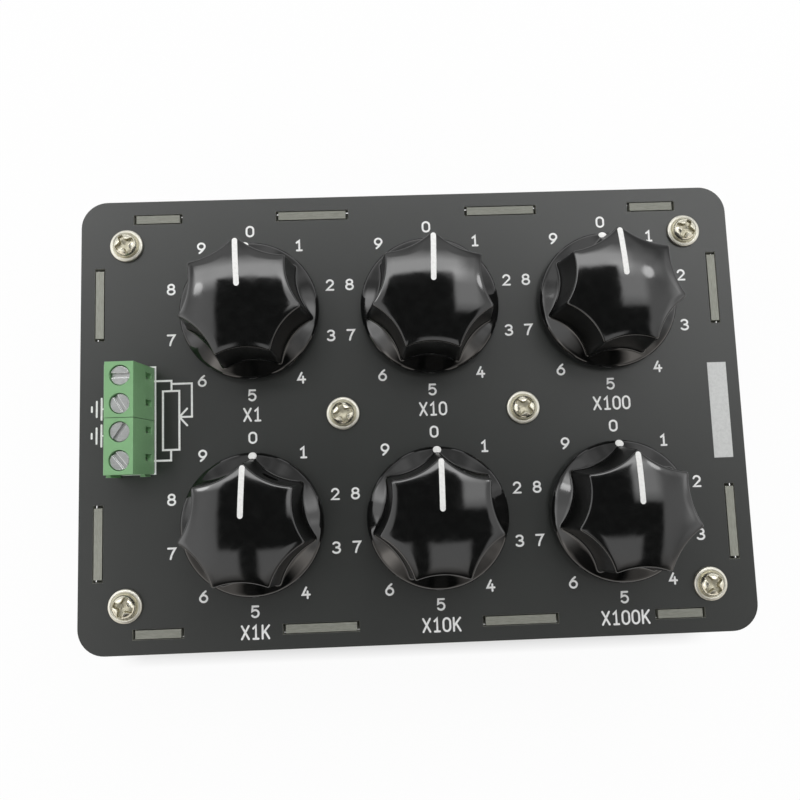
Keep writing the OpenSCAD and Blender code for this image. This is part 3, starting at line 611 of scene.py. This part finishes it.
def knob_column(angle):
    """(r, z) of the knob's outline at one angle, from the bore to the crown."""
    points = [(BORE_R, BORE_TOP), (BORE_R, HOLLOW_H), (HOLLOW_R, HOLLOW_H),
              (HOLLOW_R, HOLLOW_BREAK), (HOLLOW_R + HOLLOW_BREAK, 0)]
    points += curve((SKIRT_R - BASE_ROUND, 0), (SKIRT_R, 0), (SKIRT_R, BASE_ROUND), steps=3)
    first_r = SKIRT_R - RIM_ROUND
    points += curve((SKIRT_R, RIM_H - RIM_ROUND), (SKIRT_R, RIM_H), (first_r, skirt_z(first_r)), steps=5)
    foot_z = skirt_z(TIP_BASE_R)
    for _ in range(SETTLE):
        foot_r = grip_r(angle, foot_z)
        foot_z = skirt_z(foot_r)
    out_r = min(foot_r + FOOT_ROUND, first_r - LEAST_SKIRT)
    for k in range(1, SKIRT_STEPS):
        r = first_r + (out_r - first_r) * k / SKIRT_STEPS
        points.append((r, skirt_z(r)))
    up_z = foot_z + FOOT_ROUND * FOOT_UP
    points += curve((out_r, skirt_z(out_r)), (foot_r, foot_z), (grip_r(angle, up_z), up_z), steps=5)
    edge_r, edge_z = crown_edge(angle)
    wall_top = edge_z - CROWN_ROUND
    for k in range(1, WALL_STEPS):
        z = up_z + (wall_top - up_z) * k / WALL_STEPS
        points.append((grip_r(angle, z), z))
    in_r = edge_r - CROWN_ROUND * CROWN_IN
    points += curve((grip_r(angle, wall_top), wall_top), (edge_r, edge_z),
                    (in_r, crown_top(angle, in_r)), steps=6)
    flat_r = edge_r - SHOULDER_W
    shoulder = [in_r + (flat_r - in_r) * k / SHOULDER_STEPS for k in range(1, SHOULDER_STEPS + 1)]
    for r in shoulder + [flat_r * (1 - k / DOME_STEPS) for k in range(1, DOME_STEPS)]:
        points.append((r, crown_top(angle, r)))
    return points


def knob_blank():
    """The knob without its set-screw hole."""
    count = LOBES * LOBE_STEPS
    angles = [2 * math.pi * (k + 0.5) / count for k in range(count)]
    columns = [knob_column(a) for a in angles]
    bm = bmesh.new()
    ring_grid(bm, [[(r * math.cos(a), r * math.sin(a), z) for a, (r, z) in zip(angles, ring)]
                   for ring in zip(*columns)])
    return show("knob_blank", finish_mesh(bm, "knob_blank"))


def knob_cutter():
    """A rod in place of the set-screw hole, through the hollow of one flute."""
    turn = math.pi / 2 - math.pi / LOBES
    outward = Vector((math.cos(turn), math.sin(turn), 0))
    side = Vector((-outward.y, outward.x, 0))
    up = Vector((0, 0, 1))
    bm = bmesh.new()
    ring_grid(bm, [[outward * r + (side * math.cos(t) + up * math.sin(t)) * SET_SCREW_R
                    + up * SET_SCREW_Z for t in full_turn(CIRCLE_STEPS)] for r in SET_SCREW_ENDS])
    return show("knob_cutter", finish_mesh(bm, "knob_cutter"))


def is_flute(face):
    """True for the upright faces of the grip."""
    at = face.center / MM
    r = math.hypot(at.x, at.y)
    return abs(face.normal.z) < UPRIGHT and at.z > skirt_z(r) + OFF_SKIRT and r > FLUTE_R - INTO_FLUTE


def knob_mesh():
    body, cutter = knob_blank(), knob_cutter()
    cut = body.modifiers.new("cut", "BOOLEAN")
    cut.object = cutter
    cut.operation = "DIFFERENCE"
    cut.solver = "EXACT"
    bpy.context.view_layer.update()
    mesh = bpy.data.meshes.new_from_object(body.evaluated_get(bpy.context.evaluated_depsgraph_get()))
    mesh.name = "knob"
    smooth(mesh, sharp_deg=40)
    for obj in (body, cutter):
        bpy.data.objects.remove(obj)
    mesh.materials.clear()
    mesh.materials.append(MATERIAL["knob"])
    mesh.materials.append(MATERIAL["flute"])
    for face in mesh.polygons:
        if is_flute(face):
            face.material_index = 1
    return mesh


POINTER_W, POINTER_IN, POINTER_OUT, POINTER_STEPS = 0.95, 2.1, 10.1, 24
POINTER_PROUD, POINTER_DEPTH = 0.03, 0.25
DOT_AT, DOT_R = 12.4, 0.78
# (share of DOT_R, height)
DOT_PROFILE = (1.0, -0.3), (1.0, -0.02), (0.93, 0.05), (0.75, 0.1), (0.4, 0.13)
KNOB_TURN = dict(zip(DIALS, (3.0, -2.3, 2.2, -1.6, -1.0, -0.5)))


def pointer_mesh():
    """The white line on the crown, and the white dot on the skirt."""
    bm = bmesh.new()
    reach = POINTER_OUT - POINTER_IN
    line = [(0, POINTER_IN + reach * k / POINTER_STEPS) for k in range(POINTER_STEPS + 1)]
    ribbon(bm, line, POINTER_W, lambda x, y: crown_z(math.hypot(x, y)) + POINTER_PROUD, POINTER_DEPTH)
    tilt = math.atan(SLOPE)
    right = Vector((1, 0, 0))
    out = Vector((0, math.cos(tilt), -math.sin(tilt)))
    up = Vector((0, -out.z, out.y))
    centre = Vector((0, DOT_AT, skirt_z(DOT_AT)))
    ring_grid(bm, [[centre + (right * math.cos(t) + out * math.sin(t)) * share * DOT_R + up * h
                    for t in full_turn(CIRCLE_STEPS)] for share, h in DOT_PROFILE])
    mesh = finish_mesh(bm, "pointer")
    mesh.materials.append(MATERIAL["paint"])
    return mesh


shared_knob = knob_mesh()
shared_pointer = pointer_mesh()
for d in DIALS:
    low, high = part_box(f"knob_{d}")
    at = Vector(((low.x + high.x) / 2, (low.y + high.y) / 2, low.z))
    for part, mesh in (("knob", shared_knob), ("pointer", shared_pointer)):
        obj = show(f"{part}_{d}_shape", mesh)
        obj.location = at
        obj.rotation_euler.z = math.radians(KNOB_TURN[d])
        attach(obj, f"dial_{d}")
        if part == "knob":
            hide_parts(f"knob_{d}")


# Screws: flanged heads with a cross recess
FLANGE_R, FLANGE_H, HEAD_R, HEAD_H = 3.1, 0.7, 2.22, 2.0
FLANGE_BREAK, FLANGE_ROUND, FLANGE_FALL = 0.05, 0.25, 0.12
RIM_RISE, CREST_OUT, CREST_IN = 0.03, 0.45, 0.55  # the flange rises from its rim to a crest, then dips
DISH_GAP, FOOT_GAP, HEAD_MARGIN = 0.1, 0.03, 0.02  # distances outside HEAD_R
HEAD_FOOT = 0.5
HEAD_RINGS = 40
SHANK_R, SHANK_L, SHANK_BREAK = 1.5, 8.0, 0.3
ARM_HALF, ARM_REACH, ARM_TAPER, ARM_END, ARM_BLEND = 0.6, 1.9, 0.06, 0.6, 0.45
RECESS_DEPTH, RECESS_RISE, RECESS_WALL = 1.05, 0.45, 0.17
RECESS_SHOWN = 0.3  # faces deeper than this get the darker recess metal, a painted shade
PETAL_R = 0.95
DISH = 0.16


def dome(r):
    """Height of the head at a distance from its axis, full at the inner end of the petals."""
    rise = (1 - min(1.0, r / HEAD_R) ** 3) ** (1 / 3)
    full = (1 - (PETAL_R / HEAD_R) ** 3) ** (1 / 3)
    return HEAD_FOOT + (HEAD_H - HEAD_FOOT) * rise / full


def recess_depth(x, y):
    """Depth of the cross recess: two arms that rise outwards, joined by rounds."""
    u, v = abs(x), abs(y)
    along_x = max(v - ARM_HALF + ARM_TAPER * u, (u - ARM_REACH) * ARM_END)
    along_y = max(u - ARM_HALF + ARM_TAPER * v, (v - ARM_REACH) * ARM_END)
    inside = -soft_min(along_x, along_y, ARM_BLEND)
    floor_depth = RECESS_DEPTH - RECESS_RISE * math.hypot(x, y) / ARM_REACH
    wall = max(0.0, min(1.0, inside / RECESS_WALL))
    return wall * wall * (3 - 2 * wall) * floor_depth


def screw_rows(turn, steps=144):
    """Rows round the screw from the shank's end up to the middle of the head, seat at z = 0."""
    rim = FLANGE_H - FLANGE_FALL
    profile = [(SHANK_R - SHANK_BREAK, -SHANK_L), (SHANK_R, -SHANK_L + SHANK_BREAK), (SHANK_R, 0),
               (FLANGE_R - FLANGE_BREAK, 0), (FLANGE_R, FLANGE_BREAK)]
    profile += curve((FLANGE_R, rim - FLANGE_ROUND), (FLANGE_R, rim),
                     (FLANGE_R - FLANGE_ROUND, rim + RIM_RISE), steps=5)
    profile += curve((FLANGE_R - CREST_OUT, FLANGE_H), (FLANGE_R - CREST_IN, FLANGE_H),
                     (HEAD_R + DISH_GAP, FLANGE_H - DISH), steps=4)
    profile += [(HEAD_R + FOOT_GAP, HEAD_FOOT)]
    rows = [[(r * math.cos(a), r * math.sin(a), z) for a in full_turn(steps)] for r, z in profile]
    for k in range(HEAD_RINGS):
        r = HEAD_R * math.cos(math.pi / 2 * k / HEAD_RINGS)
        rows.append([(r * math.cos(a), r * math.sin(a),
                      dome(r) - recess_depth(r * math.cos(a + turn), r * math.sin(a + turn)))
                     for a in full_turn(steps)])
    return rows


def screws(name, node, seat_z, flip, turns):
    """The six screws of one panel, each with its recess turned by so many degrees."""
    way = -1 if flip else 1
    bm = bmesh.new()
    for (x, y), turn in zip(SCREW_POINTS, turns):
        ring_grid(bm, [[(x + px, y + way * py, seat_z + way * pz) for px, py, pz in row]
                       for row in screw_rows(math.radians(turn))])
    mesh = finish_mesh(bm, name, sharp_deg=50)
    for key in ("nickel", "satin", "recess"):
        mesh.materials.append(MATERIAL[key])
    for face in mesh.polygons:
        x, y, z = face.center / MM
        at, turn = min(zip(SCREW_POINTS, turns), key=lambda p: math.hypot(x - p[0][0], y - p[0][1]))
        r = math.hypot(x - at[0], y - at[1])
        a = way * math.atan2(y - at[1], x - at[0]) + math.radians(turn)
        deep = recess_depth(r * math.cos(a), r * math.sin(a)) > RECESS_SHOWN
        if r > HEAD_R + HEAD_MARGIN:
            face.material_index = 1
        # Deep faces of the recess get the darker metal, painted shade.
        elif deep and abs(z - seat_z) > FLANGE_H:
            face.material_index = 2
    obj = new_piece(name, mesh, "case", "nickel")
    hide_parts(node)


low, high = mm_box("top_screws")
x1, x10, x100, x1k = [middle(f"shaft_{d}") for d in DIALS[:4]]
field_x, field_y = (x1.x + x100.x) / 2, (x1.y + x1k.y) / 2
half_pitch = (x10.x - x1.x) / 2
SCREW_POINTS = [(x, y) for x in (low.x + FLANGE_R, high.x - FLANGE_R)
                for y in (low.y + FLANGE_R, high.y - FLANGE_R)]
SCREW_POINTS += [(field_x - half_pitch, field_y), (field_x + half_pitch, field_y)]
UPPER_TURNS, LOWER_TURNS = (20, 62, 50, 28, 72, 40), (35, 10, 66, 48, 25, 80)
screws("upper_screws", "top_screws", PANEL_TOP, False, UPPER_TURNS)
screws("lower_screws", "bottom_screws", LOWER_FACE, True, LOWER_TURNS)

BLOCK_EDGE, SCREW_EDGE, BOARD_EDGE = 0.1, 0.11, 0.06
# The terminal blocks and screws get lighter rounded edges, painted highlights; the boards get plain rounds.
for node in ("terminal_block_rear", "terminal_block_front"):
    soften(node, BLOCK_EDGE, highlight_key="green_painted_highlight")
for w in WAYS:
    soften(f"terminal_screw_{w}", SCREW_EDGE, highlight_key="zinc_painted_highlight")
for node in ("top_panel", "bottom_panel", "front_wall", "rear_wall", "left_wall", "right_wall"):
    soften(node, BOARD_EDGE, segments=1)


# Camera, light and ground
CAMERA_AT, CAMERA_DEG = (-5.80, -12.08, 137.14), (6.07, -1.163, -2.011)
CARD_AT, CARD_SIZE = (24, -50, 125), (170, 120)
CARD_TONE, CARD_ROUGH = (0.02, 0.02, 0.02, 1), 0.8
LAMP_AIM = 0, 0, 30
WHITE = (1, 1, 1, 1)
LEAST_HEIGHT = 0.02  # keeps the slopes of a ray finite at the horizon


def over_panel(x, y, z):
    """A place whose height is given from the panel's upper face."""
    return Vector((x, y, z + PANEL_TOP)) * MM


def shown(tree):
    """1 for the rays that show a thing: from the camera, by gloss or through glass."""
    rays = add(tree, "ShaderNodeLightPath").outputs
    indirect = math_node(tree, "MAXIMUM", rays["Is Glossy Ray"], rays["Is Transmission Ray"])
    return math_node(tree, "MAXIMUM", rays["Is Camera Ray"], indirect)


scene = bpy.context.scene
scene.view_settings.view_transform = "Standard"
camera_data = bpy.data.cameras.new("camera")
camera_data.sensor_width = 36
camera_data.lens = 32.84
camera_data.clip_start = 5 * MM
camera = show("camera", camera_data)
camera.location = over_panel(*CAMERA_AT)
camera.rotation_euler = [math.radians(a) for a in CAMERA_DEG]
scene.camera = camera

world = bpy.data.worlds.new("studio")
world.use_nodes = True
scene.world = world
wt = world.node_tree
direction = add(wt, "ShaderNodeTexCoord").outputs["Generated"]
ray = add(wt, "ShaderNodeSeparateXYZ", {"Vector": direction})
height = ray.outputs["Z"]
above = math_node(wt, "MAXIMUM", height, LEAST_HEIGHT)
across = math_node(wt, "DIVIDE", ray.outputs["X"], above)
along = math_node(wt, "DIVIDE", ray.outputs["Y"], above)


def scaled(a, factor):
    return math_node(wt, "MULTIPLY", a, factor)


def plus(a, b):
    return math_node(wt, "ADD", a, b)


def patch(x0, x1, y0, y1, edge):
    """1 inside a window of the sky, given by the slopes of the ray across and along the panel."""
    sides = scaled(ramp(wt, across, x0 - edge, x0 + edge, 0, 1),
                   ramp(wt, across, x1 - edge, x1 + edge, 1, 0))
    ends = scaled(ramp(wt, along, y0 - edge, y0 + edge, 0, 1),
                  ramp(wt, along, y1 - edge, y1 + edge, 1, 0))
    return scaled(sides, ends)


# What the glossy surfaces see overhead: a pale room with brighter windows, darker low in front and in
# patches half way up, and a dark stand above the panel. A window is (across from, to, along from, to).
STAND = [(-0.42, 0.28, 0.0, 0.45), (-0.42, 0.57, -0.26, 0.05),
         (-0.22, -0.05, -4.0, -0.22), (0.34, 0.57, -4.0, -0.22)]
STAND_EDGE = 0.02
BRIGHT = [  # (window, softness of its edge, gain)
    ((-0.75, 0.4, 0.4, 0.66), 0.07, 3.5),
    ((0.4, 0.8, 0.4, 0.66), 0.07, 1.0),
    ((0.22, 0.56, 0.1, 0.5), 0.05, 1.3),
    ((-2.4, -1.5, -0.5, 0.8), 0.15, 1.1),
    ((-1.5, -1.0, -0.5, 0.8), 0.15, 3.1),
    ((1.0, 1.5, -0.5, 0.8), 0.15, 2.3),
    ((1.5, 2.4, -0.5, 0.8), 0.15, 0.7),
    ((-1.0, -0.5, -0.45, 0.5), 0.12, 0.25),
    ((-1.5, -0.75, -1.4, -0.6), 0.2, 1.4),
    ((0.75, 1.5, -1.4, -0.6), 0.2, 0.7),
]
FRONT, FRONT_EDGE = (-0.75, 0.75, -9, 0), 0.15
FRONT_TINT = (1, 0.94, 0.88, 1)
CLOUD_MM = 300
CLOUD_LEVEL, FRONT_LEVEL, STAND_LEVEL = 0.12, 0.05, 0.04  # what is left of the light there
DIFFUSE_LEVEL = 0.9
# Spans over which the light changes, in the ray's height, the clouds' noise and the slope along
HORIZON, UPPER = (0.22, 0.4), (0.66, 0.84)
ROOM, ROOM_GAIN = (0.3, 0.7), (1.0, 1.15)
LOW_BAND, LOW_BAND_GAIN = (0.05, 0.3), (0.6, 0)
CLOUD_SPAN, CLOUD_SHARE = (0.4, 0.6), (0.65, 0.0)
FRONT_SPAN, TINT_SPAN = (-0.78, -0.5), (-0.9, -0.4)

stand = patch(*STAND[0], STAND_EDGE)
for window in STAND[1:]:
    stand = math_node(wt, "MAXIMUM", stand, patch(*window, STAND_EDGE))
off_horizon = ramp(wt, height, *HORIZON, 0, 1)
half_way_up = scaled(off_horizon, ramp(wt, height, *UPPER, 1, 0))
drift = noise(wt, direction, CLOUD_MM, detail=1.0)
clouds = scaled(half_way_up, ramp(wt, drift, *CLOUD_SPAN, *CLOUD_SHARE))
front = scaled(scaled(ramp(wt, along, *FRONT_SPAN, 1, 0), off_horizon), patch(*FRONT, FRONT_EDGE))
sheen = plus(ramp(wt, height, *ROOM, *ROOM_GAIN), ramp(wt, height, *LOW_BAND, *LOW_BAND_GAIN))
for window, edge, gain in BRIGHT:
    sheen = plus(sheen, scaled(patch(*window, edge), gain))
for shadow, left in ((clouds, CLOUD_LEVEL), (front, FRONT_LEVEL), (stand, STAND_LEVEL)):
    sheen = scaled(sheen, ramp(wt, shadow, 0, 1, 1, left))
is_glossy = add(wt, "ShaderNodeLightPath").outputs["Is Glossy Ray"]
not_glossy = math_node(wt, "SUBTRACT", 1, is_glossy)
plain = ramp(wt, shown(wt), 0, 1, DIFFUSE_LEVEL, 1.0)
low_front = scaled(ramp(wt, along, *TINT_SPAN, 1, 0), is_glossy)
back = wt.nodes["Background"]
wt.links.new(plus(scaled(sheen, is_glossy), scaled(plain, not_glossy)), back.inputs["Strength"])
wt.links.new(mix(wt, low_front, WHITE, FRONT_TINT), back.inputs["Color"])


def lamp(name, size, power, at):
    data = bpy.data.lights.new(name, "AREA")
    data.shape = "ELLIPSE"
    data.size, data.size_y = size[0] * MM, size[1] * MM
    data.energy = power
    obj = show(name, data)
    obj.location = Vector(at) * MM
    obj.rotation_euler = (Vector(LAMP_AIM) - Vector(at)).to_track_quat("-Z", "Y").to_euler()
    return obj


lamp("soft_top", size=(520, 320), power=1.15, at=(140, 430, 540)).visible_glossy = False
lamp("soft_right", size=(74, 64), power=0.07, at=(356, 235, 560))
lamp("soft_left", size=(70, 60), power=0.055, at=(-354, 214, 540))


def sheet_mesh(name, width, depth):
    bm = bmesh.new()
    corners = [(sx * width / 2, sy * depth / 2) for sx, sy in ((-1, -1), (1, -1), (1, 1), (-1, 1))]
    bm.faces.new([bm.verts.new(Vector((x, y, 0)) * MM) for x, y in corners])
    return to_mesh(bm, name)


# The floor glows white for the rays that show it, except under the box, where it would shine through
# the slots. The shade there fades over these spans.
FLOOR_SIZE, FLOOR_TONE, FLOOR_ROUGH = 4000, (0.86, 0.86, 0.855, 1), 0.9
UNDER_SIDES, UNDER_FRONT, UNDER_REAR = (60, 66), (-52, -46), (40, 45)
OPEN_GLOW, UNDER_GLOW = 0.95, 0.05

floor = show("floor", sheet_mesh("floor", FLOOR_SIZE, FLOOR_SIZE))
floor_mat, ft, floor_bsdf = shader("floor_white")
floor_bsdf.inputs["Base Color"].default_value = FLOOR_TONE
floor_bsdf.inputs["Roughness"].default_value = FLOOR_ROUGH
glow = add(ft, "ShaderNodeEmission", {"Color": WHITE, "Strength": 1.0})
spot = add(ft, "ShaderNodeSeparateXYZ", {"Vector": add(ft, "ShaderNodeTexCoord").outputs["Object"]})
under = 1.0
for place_on, (start, stop), fades in (
        (math_node(ft, "ABSOLUTE", spot.outputs["X"]), UNDER_SIDES, (1, 0)),
        (spot.outputs["Y"], UNDER_FRONT, (0, 1)),
        (spot.outputs["Y"], UNDER_REAR, (1, 0))):
    under = math_node(ft, "MULTIPLY", under, ramp(ft, place_on, start * MM, stop * MM, *fades))
open_floor = math_node(ft, "MULTIPLY", shown(ft), ramp(ft, under, 0, 1, OPEN_GLOW, UNDER_GLOW))
blend = add(ft, "ShaderNodeMixShader", {0: open_floor, 1: floor_bsdf.outputs[0], 2: glow.outputs[0]})
ft.links.new(blend.outputs[0], ft.nodes["Material Output"].inputs["Surface"])
floor.data.materials.append(floor_mat)

# A card that keeps light off the front of the panel
card = show("dark_card", sheet_mesh("dark_card", *CARD_SIZE))
card.location = over_panel(*CARD_AT)
card_mat, _, card_bsdf = shader("card_black")
card_bsdf.inputs["Base Color"].default_value = CARD_TONE
card_bsdf.inputs["Roughness"].default_value = CARD_ROUGH
card.data.materials.append(card_mat)
card.visible_camera = False
card.visible_glossy = False
